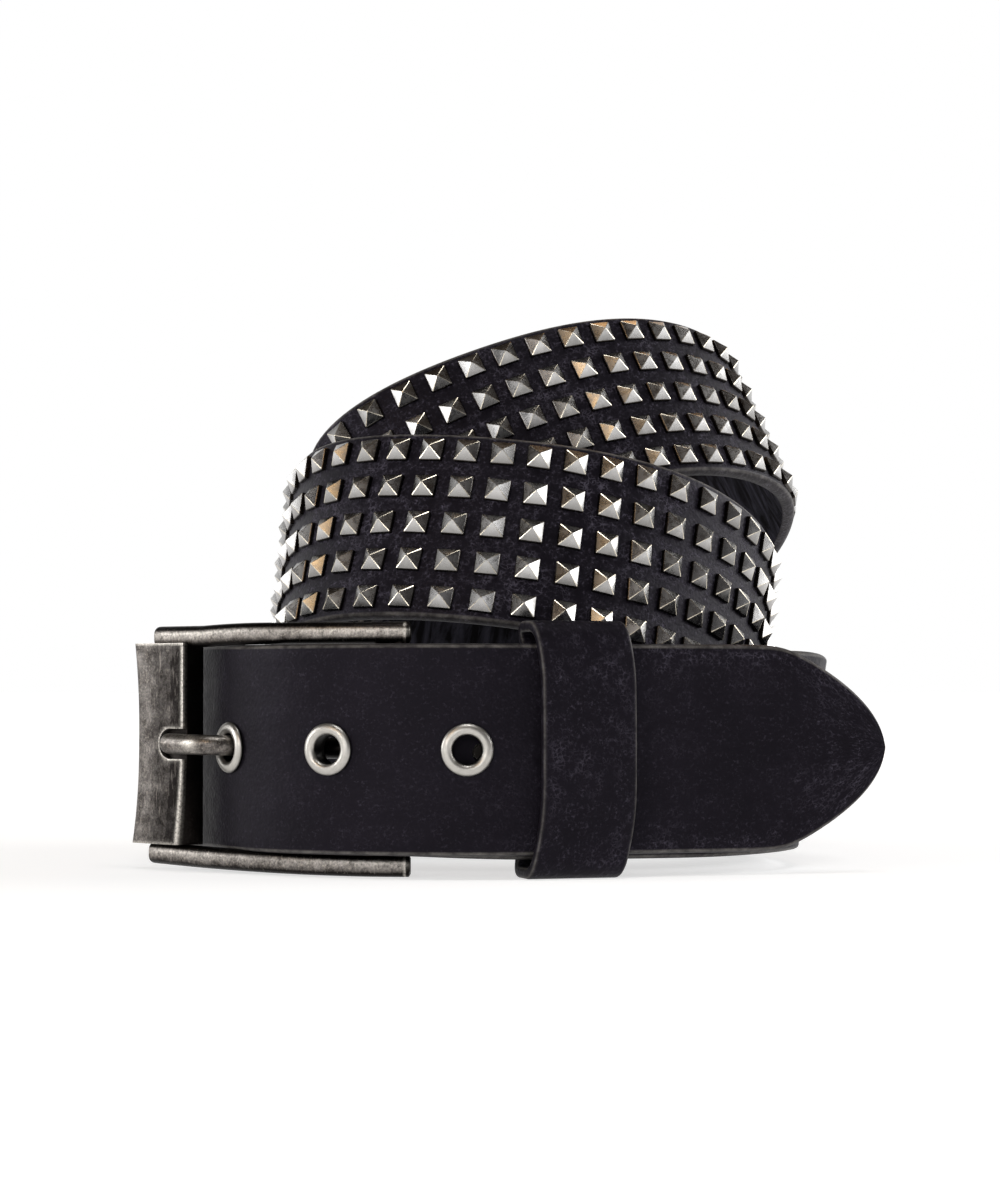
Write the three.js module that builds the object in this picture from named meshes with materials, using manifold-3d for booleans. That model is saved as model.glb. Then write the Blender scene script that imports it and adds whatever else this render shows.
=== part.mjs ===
// A studded leather belt, buckled and wound in three loops that stand on their edges.
// Millimetres, +Z up. The front of the coil faces -Y and +X is to the viewer's right.
import * as THREE from "three";
import Module from "manifold-3d";
import { mergeVertices } from "three/addons/utils/BufferGeometryUtils.js";

const wasm = await Module();
wasm.setup();
const { Manifold, Mesh } = wasm;

// Leather
const WIDTH = 40;
const THICK = 3;
const GAP = 0.3;              // between separate pieces
const TIP_LENGTH = 21;        // from the full width to the tongue's point
const TIP_BLUNT = 0.6;        // half the width that is left at the point

// Studs
const STUD_BASE = 4.7;
const STUD_HEIGHT = 2.3;
const STUD_PITCH = 7.37;      // along the strap
const ROW_PITCH = 8;          // across the strap
const ROWS = 5;
const FIRST_STUD = 227;       // distance along the strap of the first column
const COLUMNS = 96;

// Eyelets
const EYELETS = 5;
const EYELET_PITCH = 26.5;
const EYELET_RADIUS = 5;
const EYELET_HOLE = 2.75;
const EYELET_BARREL = 3.3;
const EYELET_PROUD = 1.1;     // flange in front of the leather
const EYELET_LIP = 0.8;       // rolled lip behind it
const LAST_EYELET = 83;       // from the tongue's point to the nearest eyelet

// Buckle and keeper
const STRAP_Z = 24.4;         // middle of the fastened stretch
const ROD = 3.6;              // thickness of the side rods
const FRAME_HALF = 22.6;      // from the middle to a side rod's axis
const HEEL = { x: -19, y: 9.3, radius: 1.8 };
const PLATE = { x: -66, y: 32.5, width: 15.5, thick: 5, height: 40.2, turn: 137.2 };
const FRONT_BAR = { width: 8, thick: 2.4 };
const NOTCH = { length: 7.6, height: 6.2 };
const PRONG_RADIUS = 2;
const KEEPER = { width: 20, thick: 2.2, height: 48.8, depth: 12.4, corner: 3, fromPoint: 62.5 };
const RIVET = { fromEnd: 4.5, radius: 1.5, head: 3.2 };

// The strap's middle line, from its turned-back end round the heel bar to the tongue's point.
// x, y and z are its places; right and back are the lean of its width, in degrees.
const STATIONS = [
  { at: "turned end", x: 1, y: 10, z: 23.6, right: 0, back: 0 },
  { at: "into the fold", x: -9, y: 10.4, z: 24, right: 0, back: 0 },
  { at: "fold, back", x: -19, y: 12.9, z: 24.2, right: 0, back: 0 },
  { at: "fold, back left", x: -21.6, y: 11.9, z: 24.2, right: 0, back: 0 },
  { at: "fold, left", x: -22.65, y: 9.3, z: 24.2, right: 0, back: 0 },
  { at: "fold, front left", x: -21.6, y: 6.7, z: 24.2, right: 0, back: 0 },
  { at: "fold, front", x: -19, y: 5.7, z: 24.2, right: 0, back: 0 },
  { at: "out of the fold", x: -10, y: 5.4, z: 23.9, right: 0, back: 0 },
  { at: "under the tongue", x: 7, y: 7.5, z: 23.4, right: 0, back: 0 },
  { at: "inside the keeper", x: 24, y: 12.5, z: 23.3, right: 0, back: 0 },
  { at: "past the keeper", x: 40, y: 18, z: 23.3, right: 0, back: 0 },
  { at: "right turn", x: 59.2, y: 38, z: 23.4, right: 6, back: 0 },
  { at: "right side, first", x: 62.4, y: 64, z: 22.2, right: 11, back: 4 },
  { at: "back right, first", x: 49, y: 100, z: 20.6, right: 9, back: 6 },
  { at: "back, first", x: 10, y: 120, z: 27, right: 10, back: 12 },
  { at: "back left, first", x: -34, y: 106, z: 42, right: 9, back: 18 },
  { at: "left side, second", x: -44, y: 70, z: 60, right: 5, back: 20 },
  { at: "front left, second", x: -32, y: 36.3, z: 67.5, right: 5, back: 22 },
  { at: "front, second", x: 5, y: 21.8, z: 66, right: 11, back: 22 },
  { at: "front right, second", x: 40, y: 37, z: 57.5, right: 12, back: 21 },
  { at: "right side, second", x: 54, y: 68, z: 44, right: 8, back: 18 },
  { at: "back right, second", x: 39, y: 100.5, z: 36, right: 8, back: 20 },
  { at: "back, second", x: 0, y: 111, z: 43, right: -4, back: 14 },
  { at: "back left, second", x: -31, y: 94, z: 58, right: -12, back: 6 },
  { at: "left side, third", x: -30, y: 75, z: 72, right: -21, back: 13 },
  { at: "front, third", x: 2, y: 68, z: 90.5, right: -25, back: 20 },
  { at: "front right, third", x: 36, y: 82, z: 99, right: -25, back: 20 },
  { at: "right side, third", x: 57, y: 110, z: 94, right: -23, back: 18 },
  { at: "back right, third", x: 47, y: 144, z: 74, right: -18, back: 14 },
  { at: "back, third", x: 5, y: 158, z: 50, right: -12, back: 6 },
  { at: "back left, third", x: -43, y: 136, z: 29.5, right: -5, back: 0 },
  { at: "left side, last", x: -65.5, y: 92, z: 20.6, right: 0, back: 0 },
  { at: "into the buckle", x: -64.5, y: 54, z: 22.4, right: 0, back: 0 },
  { at: "under the plate", x: -57.2, y: 33.5, z: 24.4, right: 0, back: 0 },
  { at: "prong's hole", x: -51.3, y: 22.6, z: 24.4, right: 0, back: 0 },
  { at: "next hole", x: -32.7, y: 7, z: 24.4, right: 0, back: 0 },
  { at: "last hole", x: -5.8, y: 1.5, z: 24.4, right: 0, back: 0 },
  { at: "keeper", x: 16, y: 6.3, z: 24.4, right: 0, back: 0 },
  { at: "tongue", x: 48.3, y: 16.5, z: 24.4, right: 0, back: 0 },
  { at: "point", x: 74.8, y: 23.5, z: 24.4, right: 0, back: 0 },
];

// Prong's middle line, from the heel bar behind the tongue, through the hole, to the notch.
const PRONG = [
  { x: -22.5, y: 11.5 }, { x: -30, y: 13 }, { x: -38, y: 17.6 }, { x: -44, y: 23 },
  { x: -47.5, y: 24.3 }, { x: -51.3, y: 22.6 }, { x: -55.5, y: 20.6 }, { x: -59.5, y: 21.9 },
  { x: -62.7, y: 24.6 }, { x: -67.3, y: 28.8 },
];

const leather = new THREE.MeshStandardMaterial({ color: "#201e24", roughness: 0.55 });
const gunmetal = new THREE.MeshStandardMaterial({ color: "#5c5650", roughness: 0.4, metalness: 1 });
const nickel = new THREE.MeshStandardMaterial({ color: "#a3a09a", roughness: 0.35, metalness: 1 });

// Natural cubic spline through rows of numbers at the values of t.
function naturalSpline(t, rows) {
  const n = t.length;
  const second = rows.map((row) => row.map(() => 0));
  const upper = new Array(n).fill(0);
  for (let i = 1; i < n - 1; i++) {
    const before = t[i] - t[i - 1];
    const after = t[i + 1] - t[i];
    const pivot = 2 * (before + after) - before * upper[i - 1];
    upper[i] = after / pivot;
    second[i] = rows[i].map((v, k) => (
      6 * ((rows[i + 1][k] - v) / after - (v - rows[i - 1][k]) / before)
      - before * second[i - 1][k]) / pivot);
  }
  for (let i = n - 2; i > 0; i--) {
    second[i] = second[i].map((v, k) => v - upper[i] * second[i + 1][k]);
  }
  return (q) => {
    let i = 0;
    while (i < n - 2 && q > t[i + 1]) i++;
    const h = t[i + 1] - t[i];
    const a = (t[i + 1] - q) / h;
    const b = 1 - a;
    return rows[i].map((v, k) => a * v + b * rows[i + 1][k]
      + ((a ** 3 - a) * second[i][k] + (b ** 3 - b) * second[i + 1][k]) * h * h / 6);
  };
}

// The strap's middle line by distance: place, direction, width direction and outward normal.
function strapPath() {
  const rows = STATIONS.map((s) => [s.x, s.y, s.z, s.right, s.back]);
  const t = [0];
  for (let i = 1; i < rows.length; i++) {
    t.push(t[i - 1] + Math.hypot(...[0, 1, 2].map((k) => rows[i][k] - rows[i - 1][k])));
  }
  const spline = naturalSpline(t, rows);
  const steps = Math.ceil(t.at(-1) / 0.25);
  const samples = [];
  let length = 0;
  for (let i = 0; i <= steps; i++) {
    const row = spline(t.at(-1) * i / steps);
    const last = samples.at(-1);
    if (last) length += Math.hypot(...[0, 1, 2].map((k) => row[k] - last.row[k]));
    samples.push({ row, s: length });
  }
  const rowAt = (s) => {
    let low = 0;
    let high = samples.length - 1;
    while (high - low > 1) {
      const middle = (low + high) >> 1;
      if (samples[middle].s > s) high = middle; else low = middle;
    }
    const f = (s - samples[low].s) / (samples[high].s - samples[low].s);
    return samples[low].row.map((v, k) => v + f * (samples[high].row[k] - v));
  };
  const frameAt = (s) => {
    const row = rowAt(s);
    const along = new THREE.Vector3(...rowAt(s + 0.5)).sub(new THREE.Vector3(...rowAt(s - 0.5)));
    along.normalize();
    const [right, back] = [row[3], row[4]].map(THREE.MathUtils.degToRad);
    const across = new THREE.Vector3(Math.tan(right), Math.tan(back), 1);
    across.addScaledVector(along, -across.dot(along)).normalize();
    const out = new THREE.Vector3().crossVectors(along, across);
    return { place: new THREE.Vector3(row[0], row[1], row[2]), along, across, out };
  };
  return { length, frameAt };
}

const path = strapPath();

const toSolid = (geometry) => {
  const bare = geometry.clone();
  bare.deleteAttribute("normal");
  bare.deleteAttribute("uv");
  const merged = mergeVertices(bare, 1e-4);
  return new Manifold(new Mesh({
    numProp: 3,
    vertProperties: new Float32Array(merged.attributes.position.array),
    triVerts: new Uint32Array(merged.index.array),
  }));
};

const toGeometry = (solid) => {
  const mesh = solid.getMesh();
  const geometry = new THREE.BufferGeometry();
  geometry.setAttribute("position", new THREE.BufferAttribute(mesh.vertProperties, 3));
  geometry.setIndex(new THREE.BufferAttribute(mesh.triVerts, 1));
  geometry.computeVertexNormals();
  return geometry;
};

// Matrix whose x, y and z axes are along, across and out of the strap at a distance.
const strapMatrix = (s) => {
  const { place, along, across, out } = path.frameAt(s);
  return new THREE.Matrix4().makeBasis(along, across, out).setPosition(place);
};

// Distances at which the strap's mesh has a line, closer together where it bends.
function plainLines(from, to) {
  const lines = [];
  let s = from;
  while (s < to - 1) {
    lines.push({ s });
    const bend = path.frameAt(s).along.angleTo(path.frameAt(s + 1).along);
    s += THREE.MathUtils.clamp(0.32 / Math.max(bend, 0.01), 1.2, 5.5);
  }
  return lines;
}

const halfWidthAt = (s) => {
  const toPoint = Math.min(1, (path.length - s) / TIP_LENGTH);
  return Math.max(TIP_BLUNT, WIDTH / 2 * Math.sqrt(Math.max(0, toPoint)));
};

// Places across the strap: its two edges, or those and both sides of each row of studs.
function acrossPlaces(line) {
  const half = halfWidthAt(line.s);
  if (!line.studs) return [-half, half];
  const rows = Array.from({ length: ROWS }, (_, r) => (r - (ROWS - 1) / 2) * ROW_PITCH);
  return [-half, ...rows.flatMap((v) => [v - STUD_BASE / 2, v + STUD_BASE / 2]), half];
}

function strapGeometry() {
  const lines = plainLines(1, FIRST_STUD - STUD_BASE);
  for (let c = 0; c < COLUMNS; c++) {
    const s = FIRST_STUD + c * STUD_PITCH;
    lines.push({ s: s - STUD_BASE / 2, studs: true, column: true });
    lines.push({ s: s + STUD_BASE / 2, studs: true });
  }
  const lastStud = FIRST_STUD + (COLUMNS - 1) * STUD_PITCH + STUD_BASE;
  lines.push(...plainLines(lastStud, path.length - TIP_LENGTH - 2));
  const tipSteps = 9;
  for (let k = tipSteps; k >= 0; k--) {
    lines.push({ s: path.length - 0.6 - (TIP_LENGTH - 0.6) * (k / tipSteps) ** 2 });
  }

  const points = [];
  const faces = [];
  const addPoint = (frame, v, n) => points.push(
    frame.place.clone().addScaledVector(frame.across, v).addScaledVector(frame.out, n)) - 1;
  for (const line of lines) {
    line.frame = path.frameAt(line.s);
    line.across = acrossPlaces(line);
    line.outer = line.across.map((v) => addPoint(line.frame, v, THICK / 2));
    line.inner = [line.across[0], line.across.at(-1)].map((v) => addPoint(line.frame, v, -THICK / 2));
  }
  const [first, last] = [lines[0], lines.at(-1)];
  faces.push([first.outer[0], first.outer.at(-1), first.inner[1]]);
  faces.push([first.outer[0], first.inner[1], first.inner[0]]);
  faces.push([last.outer[0], last.inner[1], last.outer.at(-1)]);
  faces.push([last.outer[0], last.inner[0], last.inner[1]]);
  for (let i = 0; i < lines.length - 1; i++) {
    const [a, b] = [lines[i], lines[i + 1]];
    let [j, k] = [0, 0];
    while (j < a.outer.length - 1 || k < b.outer.length - 1) {
      const quad = a.outer.length === b.outer.length;
      if (quad && a.column && j % 2 === 1) {
        const frame = path.frameAt((a.s + b.s) / 2);
        const v = (a.across[j] + a.across[j + 1]) / 2;
        const apex = addPoint(frame, v, THICK / 2 + STUD_HEIGHT);
        const ring = [a.outer[j], b.outer[k], b.outer[k + 1], a.outer[j + 1]];
        ring.forEach((p, q) => faces.push([p, ring[(q + 1) % 4], apex]));
        j++; k++;
      } else if (quad) {
        faces.push([a.outer[j], b.outer[k], b.outer[k + 1]]);
        faces.push([a.outer[j], b.outer[k + 1], a.outer[j + 1]]);
        j++; k++;
      } else if (k < b.outer.length - 1) {
        faces.push([a.outer[j], b.outer[k], b.outer[k + 1]]);
        k++;
      } else {
        faces.push([a.outer[j], b.outer[k], a.outer[j + 1]]);
        j++;
      }
    }
    faces.push([a.inner[0], a.inner[1], b.inner[1]], [a.inner[0], b.inner[1], b.inner[0]]);
    faces.push([a.outer.at(-1), b.outer.at(-1), b.inner[1]], [a.outer.at(-1), b.inner[1], a.inner[1]]);
    faces.push([a.outer[0], b.inner[0], b.outer[0]], [a.outer[0], a.inner[0], b.inner[0]]);
  }
  const geometry = new THREE.BufferGeometry().setFromPoints(points);
  geometry.setIndex(faces.flat());
  return geometry;
}

// Round bar between two heights on a local z axis.
function roundBar(radius, from, to, sides = 20) {
  const bar = new THREE.CylinderGeometry(radius, radius, to - from, sides).rotateX(Math.PI / 2);
  return bar.translate(0, 0, (from + to) / 2);
}

const eyeletAt = Array.from({ length: EYELETS },
  (_, i) => path.length - LAST_EYELET - (EYELETS - 1 - i) * EYELET_PITCH);

function strap() {
  let solid = toSolid(strapGeometry());
  for (const s of eyeletAt) {
    const hole = roundBar(EYELET_BARREL + GAP, -THICK, THICK).applyMatrix4(strapMatrix(s));
    solid = solid.subtract(toSolid(hole));
  }
  const rivetHole = roundBar(RIVET.radius + GAP, -3 * THICK, THICK);
  solid = solid.subtract(toSolid(rivetHole.applyMatrix4(strapMatrix(RIVET.fromEnd))));
  const slot = new THREE.BoxGeometry(16, 14, 2 * PRONG_RADIUS + 2.4);
  solid = solid.subtract(toSolid(slot.translate(HEEL.x - 2, HEEL.y + 1, STRAP_Z)));
  return toGeometry(solid);
}

// Flange, barrel and the rolled lip behind, turned about the hole's axis.
function eyelet() {
  const face = THICK / 2;
  const profile = [
    [EYELET_HOLE, -face - EYELET_LIP], [EYELET_BARREL + 0.9, -face - EYELET_LIP],
    [EYELET_BARREL + 1.2, -face - GAP], [EYELET_BARREL, -face - GAP],
    [EYELET_BARREL, face + GAP], [EYELET_RADIUS, face + GAP],
    [EYELET_RADIUS - 0.4, face + 0.8 * EYELET_PROUD],
    [EYELET_RADIUS - 1.2, face + EYELET_PROUD + GAP], [EYELET_HOLE + 0.3, face + EYELET_PROUD],
    [EYELET_HOLE, face + 0.5 * EYELET_PROUD],
  ].map(([r, h]) => new THREE.Vector2(r, h));
  profile.push(profile[0].clone());
  return new THREE.LatheGeometry(profile, 16).rotateX(Math.PI / 2);
}

// Curve seen from above that both side rods follow.
const rodCurve = new THREE.QuadraticBezierCurve(
  new THREE.Vector2(HEEL.x + 2, HEEL.y - 0.6), new THREE.Vector2(-42, 9),
  new THREE.Vector2(PLATE.x - 1.6, PLATE.y + 1.4));

function buckleFrame() {
  const steps = 12;
  const sideOf = (t, side) => {
    const normal = rodCurve.getTangent(t).rotateAround(new THREE.Vector2(), Math.PI / 2);
    return rodCurve.getPoint(t).addScaledVector(normal, side * ROD / 2);
  };
  const steppedSide = (side) => Array.from({ length: steps + 1 }, (_, i) => sideOf(i / steps, side));
  const outline = new THREE.Shape([...steppedSide(1), ...steppedSide(-1).reverse()]);
  const rod = () => new THREE.ExtrudeGeometry(outline, { depth: ROD, bevelEnabled: false });
  const lower = STRAP_Z - FRAME_HALF - ROD / 2;
  const bar = new THREE.BoxGeometry(FRONT_BAR.width, FRONT_BAR.thick, 2 * FRAME_HALF);
  bar.rotateZ(THREE.MathUtils.degToRad(PLATE.turn)).translate(PLATE.x, PLATE.y, STRAP_Z);
  const heel = roundBar(HEEL.radius, STRAP_Z - FRAME_HALF, STRAP_Z + FRAME_HALF);
  return toGeometry(Manifold.union([
    toSolid(rod().translate(0, 0, lower)),
    toSolid(rod().translate(0, 0, lower + 2 * FRAME_HALF)),
    toSolid(bar),
    toSolid(heel.translate(HEEL.x, HEEL.y, 0)),
  ]));
}

// Wide plate in its own frame: x along its width towards the left, z up, y outwards.
function bucklePlate() {
  const [half, face] = [PLATE.width / 2, PLATE.thick / 2];
  const outline = new THREE.Shape();
  outline.moveTo(-half, -face);
  outline.lineTo(-half, face - 1);
  outline.lineTo(-half + 1, face);
  outline.quadraticCurveTo(0, face + 0.5, half - 1, face);
  outline.quadraticCurveTo(half, face, half, face - 1.2);
  outline.lineTo(half, -face);
  const plate = new THREE.ExtrudeGeometry(outline, { depth: PLATE.height, bevelEnabled: false });
  plate.translate(0, 0, -PLATE.height / 2);
  const slot = new THREE.BoxGeometry(FRONT_BAR.width + 2 * GAP, FRONT_BAR.thick + 2 * GAP, 60);
  const groove = new THREE.BoxGeometry(NOTCH.length - NOTCH.height / 2 + 2, 8, NOTCH.height);
  groove.translate(-half + (NOTCH.length - NOTCH.height / 2) / 2 - 1, 4, 0);
  const end = new THREE.CylinderGeometry(NOTCH.height / 2, NOTCH.height / 2, 8, 20);
  end.translate(-half + NOTCH.length - NOTCH.height / 2, 4, 0);
  const solid = toSolid(plate).subtract(toSolid(slot)).subtract(toSolid(groove))
    .subtract(toSolid(end));
  const geometry = toGeometry(solid);
  return geometry.rotateZ(THREE.MathUtils.degToRad(PLATE.turn));
}

function prong() {
  const points = PRONG.map((p) => new THREE.Vector3(p.x, p.y, STRAP_Z));
  const curve = new THREE.CatmullRomCurve3(points);
  const [tubular, radial] = [30, 10];
  const tube = new THREE.TubeGeometry(curve, tubular, PRONG_RADIUS, radial, false);
  const position = tube.attributes.position;
  const ends = [curve.getPoint(0), curve.getPoint(1)];
  const index = [...tube.index.array];
  const verts = [...position.array];
  ends.forEach((end, e) => {
    const centre = verts.length / 3;
    verts.push(end.x, end.y, end.z);
    const start = e * tubular * (radial + 1);
    for (let i = 0; i < radial; i++) {
      const pair = [start + i, start + i + 1];
      index.push(centre, ...(e ? pair.reverse() : pair));
    }
  });
  const capped = new THREE.BufferGeometry();
  capped.setAttribute("position", new THREE.Float32BufferAttribute(verts, 3));
  capped.setIndex(index);
  const loop = roundBar(HEEL.radius + GAP + 2.6, -PRONG_RADIUS, PRONG_RADIUS, 24);
  const bore = roundBar(HEEL.radius + GAP, -10, 10, 24);
  const place = [HEEL.x, HEEL.y, STRAP_Z];
  return toGeometry(toSolid(capped).add(toSolid(loop.translate(...place)))
    .subtract(toSolid(bore.translate(...place))));
}

// Loop round the strap in the strap's frame: x along, y across, z outwards.
function keeper() {
  const ring = (height, depth, corner, Path) => {
    const [h, d] = [height / 2, depth / 2];
    const outline = new Path();
    outline.moveTo(-h + corner, -d);
    outline.lineTo(h - corner, -d).absarc(h - corner, -d + corner, corner, -Math.PI / 2, 0);
    outline.lineTo(h, d - corner).absarc(h - corner, d - corner, corner, 0, Math.PI / 2);
    outline.lineTo(-h + corner, d).absarc(-h + corner, d - corner, corner, Math.PI / 2, Math.PI);
    outline.lineTo(-h, -d + corner);
    outline.absarc(-h + corner, -d + corner, corner, Math.PI, 1.5 * Math.PI);
    return outline;
  };
  const { height, depth, corner, thick, width } = KEEPER;
  const outline = ring(height, depth, corner, THREE.Shape);
  outline.holes.push(ring(height - 2 * thick, depth - 2 * thick, corner - thick, THREE.Path));
  const loop = new THREE.ExtrudeGeometry(outline, { depth: width, bevelEnabled: false, curveSegments: 5 });
  loop.translate(0, -depth / 2 + THICK / 2 + GAP + thick, -width / 2);
  const turn = new THREE.Matrix4().makeBasis(
    new THREE.Vector3(0, 1, 0), new THREE.Vector3(0, 0, 1), new THREE.Vector3(1, 0, 0));
  return loop.applyMatrix4(turn);
}

// Shank through the strap's two layers, with a low head on the turned-back end.
function rivet() {
  const depth = 2 * THICK + 0.6;
  const shank = toSolid(roundBar(RIVET.radius, THICK / 2 - depth, THICK / 2 + 0.6));
  const head = toSolid(roundBar(RIVET.head, THICK / 2 + GAP, THICK / 2 + GAP + 0.9));
  return toGeometry(shank.add(head));
}

const belt = new THREE.Group();

function addPiece(name, geometry, material, matrix) {
  const mesh = new THREE.Mesh(geometry, material);
  mesh.name = name;
  if (matrix) mesh.applyMatrix4(matrix);
  belt.add(mesh);
  return mesh;
}

addPiece("strap", strap(), leather);
eyeletAt.forEach((s, i) => addPiece(`eyelet_${i + 1}`, eyelet(), nickel, strapMatrix(s)));
addPiece("buckle_frame", buckleFrame(), gunmetal);
addPiece("buckle_plate", bucklePlate(), gunmetal).position.set(PLATE.x, PLATE.y, STRAP_Z);
addPiece("prong", prong(), gunmetal);
addPiece("rivet", rivet(), nickel, strapMatrix(RIVET.fromEnd));
addPiece("keeper", keeper(), leather, strapMatrix(path.length - KEEPER.fromPoint));

// The origin is under the middle of the belt, on the surface that it stands on.
belt.updateMatrixWorld(true);
const box = new THREE.Box3().setFromObject(belt);
belt.position.set(-(box.min.x + box.max.x) / 2, -(box.min.y + box.max.y) / 2, -box.min.z);
belt.userData = { length: path.length };

export default belt;
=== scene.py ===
import math

import bmesh
import bpy
import numpy as np
from mathutils import Matrix, Vector, kdtree


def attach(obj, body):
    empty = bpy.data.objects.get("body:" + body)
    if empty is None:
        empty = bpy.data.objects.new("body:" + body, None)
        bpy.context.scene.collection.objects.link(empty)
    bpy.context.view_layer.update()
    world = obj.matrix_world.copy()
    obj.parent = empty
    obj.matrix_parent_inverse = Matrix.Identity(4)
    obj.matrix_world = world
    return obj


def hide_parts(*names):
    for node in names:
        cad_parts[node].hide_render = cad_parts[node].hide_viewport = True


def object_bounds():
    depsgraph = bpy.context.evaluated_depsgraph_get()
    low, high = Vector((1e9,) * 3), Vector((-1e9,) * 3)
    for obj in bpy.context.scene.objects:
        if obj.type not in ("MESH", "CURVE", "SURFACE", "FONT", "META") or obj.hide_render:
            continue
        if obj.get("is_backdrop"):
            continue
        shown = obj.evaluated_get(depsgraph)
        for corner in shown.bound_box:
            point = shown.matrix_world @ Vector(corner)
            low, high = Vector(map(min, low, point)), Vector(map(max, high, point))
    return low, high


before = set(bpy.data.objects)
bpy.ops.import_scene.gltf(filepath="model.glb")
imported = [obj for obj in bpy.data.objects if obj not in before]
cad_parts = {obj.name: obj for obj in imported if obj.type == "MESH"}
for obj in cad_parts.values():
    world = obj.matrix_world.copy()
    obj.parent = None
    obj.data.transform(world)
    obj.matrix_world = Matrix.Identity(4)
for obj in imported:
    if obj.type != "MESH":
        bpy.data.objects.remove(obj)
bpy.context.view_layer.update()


# ---------------------------------------------------------------- where it is photographed
# The belt stands on a pale table under soft studio light. The table and the wall behind it give
# the white ground. High above, the room is dim and warm, and that is what the upper faces of
# the studs mirror; one warm lamp on the left gives some of them a golden glint.

def linear(colour):
    """An sRGB hex colour as the linear one that Blender reads."""
    channels = [int(colour[i:i + 2], 16) / 255 for i in (1, 3, 5)]
    return [c / 12.92 if c <= 0.04045 else ((c + 0.055) / 1.055) ** 2.4 for c in channels] + [1.0]


def add_node(tree, kind, inputs=None, **settings):
    """A new node. inputs maps a socket's name or number to a value or to another node's output."""
    node = tree.nodes.new(kind)
    for name, value in settings.items():
        setattr(node, name, value)
    for key, value in (inputs or {}).items():
        if isinstance(value, bpy.types.NodeSocket):
            tree.links.new(value, node.inputs[key])
        else:
            node.inputs[key].default_value = value
    return node


def new_material(name):
    material = bpy.data.materials.new(name)
    material.use_nodes = True
    return material, material.node_tree, material.node_tree.nodes["Principled BSDF"]


def put(name, data):
    """A new object in the scene."""
    made = bpy.data.objects.new(name, data)
    scene.collection.objects.link(made)
    return made


scene = bpy.context.scene
scene.view_settings.view_transform = "Standard"

camera = put("camera", bpy.data.cameras.new("camera"))
camera.data.sensor_width = 36
camera.data.lens = 87.9
camera.data.clip_start = 0.01
camera.location = (-0.0008, -0.6311, 0.0366)
camera.rotation_euler = (math.radians(90 + 1.66), 0, 0)
scene.camera = camera

table = bpy.data.meshes.new("table")
table.from_pydata([(-12, -12, 0), (12, -12, 0), (12, 12, 0), (-12, 12, 0)], [], [(0, 1, 2, 3)])
table_top = put("table_top", table)
matt_white, tree, shader = new_material("matt_white_card")
spot = add_node(tree, "ShaderNodeTexCoord").outputs["Object"]
away = add_node(tree, "ShaderNodeVectorMath", {0: spot}, operation="LENGTH").outputs["Value"]
painted_glow = add_node(tree, "ShaderNodeMapRange", {  # painted light: the card glows, less near the belt and fully from 1.6 m away
    "Value": away, "From Min": 0.1, "From Max": 1.6, "To Min": 0.62},
    interpolation_type="SMOOTHSTEP").outputs[0]
tree.links.new(painted_glow, shader.inputs["Emission Strength"])
shader.inputs["Emission Color"].default_value = linear("#ffffff")
shader.inputs["Base Color"].default_value = linear("#c8c8c8")
shader.inputs["Roughness"].default_value = 0.9
shader.inputs["Specular IOR Level"].default_value = 0.0
table.materials.append(matt_white)
table_top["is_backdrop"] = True

room = bpy.data.worlds.new("room")
scene.world = room
room.use_nodes = True
tree = room.node_tree
direction = add_node(tree, "ShaderNodeTexCoord").outputs["Generated"]
towards = add_node(tree, "ShaderNodeSeparateXYZ", {0: direction}).outputs
above = add_node(tree, "ShaderNodeMapRange", {
    "Value": towards["Z"], "From Min": 0.42, "From Max": 0.58},
    interpolation_type="SMOOTHSTEP").outputs[0]
behind = add_node(tree, "ShaderNodeMapRange", {
    "Value": towards["Y"], "From Min": 0.1, "From Max": 0.6},
    interpolation_type="SMOOTHSTEP").outputs[0]
wall = add_node(tree, "ShaderNodeMix", {
    0: behind, 6: linear("#77777a"), 7: linear("#ffffff")}, data_type="RGBA").outputs[2]
wall = add_node(tree, "ShaderNodeMix", {
    0: above, 6: wall, 7: linear("#33291f")}, data_type="RGBA").outputs[2]
tree.links.new(wall, tree.nodes["Background"].inputs["Color"])


def add_softbox(name, place, target, size, watts, colour="#ffffff"):
    light = bpy.data.lights.new(name, "AREA")
    light.shape = "RECTANGLE"
    light.size, light.size_y = size
    light.energy = watts
    light.color = linear(colour)[:3]
    softbox = put(name, light)
    softbox.location = place
    softbox.rotation_euler = (Vector(target) - Vector(place)).to_track_quat("-Z", "Y").to_euler()
    softbox.visible_camera = False


add_softbox("softbox_right", (1.25, 0.25, 0.5), (0, 0, 0.06), (1.1, 0.7), 12.8)
add_softbox("softbox_left", (-1.35, -0.15, 0.4), (0, 0, 0.06), (0.6, 0.6), 6.5)
add_softbox("softbox_front_left", (-0.75, -1.15, 0.35), (0, 0, 0.05), (0.35, 0.45), 3)
add_softbox("softbox_front", (-0.12, -1.5, 0.42), (0, 0, 0.06), (0.3, 0.4), 2.5)
add_softbox("softbox_top", (0.1, -0.35, 1.7), (0, 0, 0.05), (0.6, 0.5), 7)
add_softbox("softbox_behind", (0.35, 1.36, 1.42), (0, 0, 0.05), (0.5, 0.3), 1.6, "#ffc88c")
add_softbox("lamp_warm", (-0.79, -1.16, 0.82), (0, 0, 0.06), (0.32, 0.4), 1.6, "#ffd49c")


# ---------------------------------------------------------------- strap
# One strap of split cowhide, 40 mm wide and 3 mm thick, dyed and pigmented black with painted
# round edges. It is fastened and wound in three loops that stand on their edges.

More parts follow.
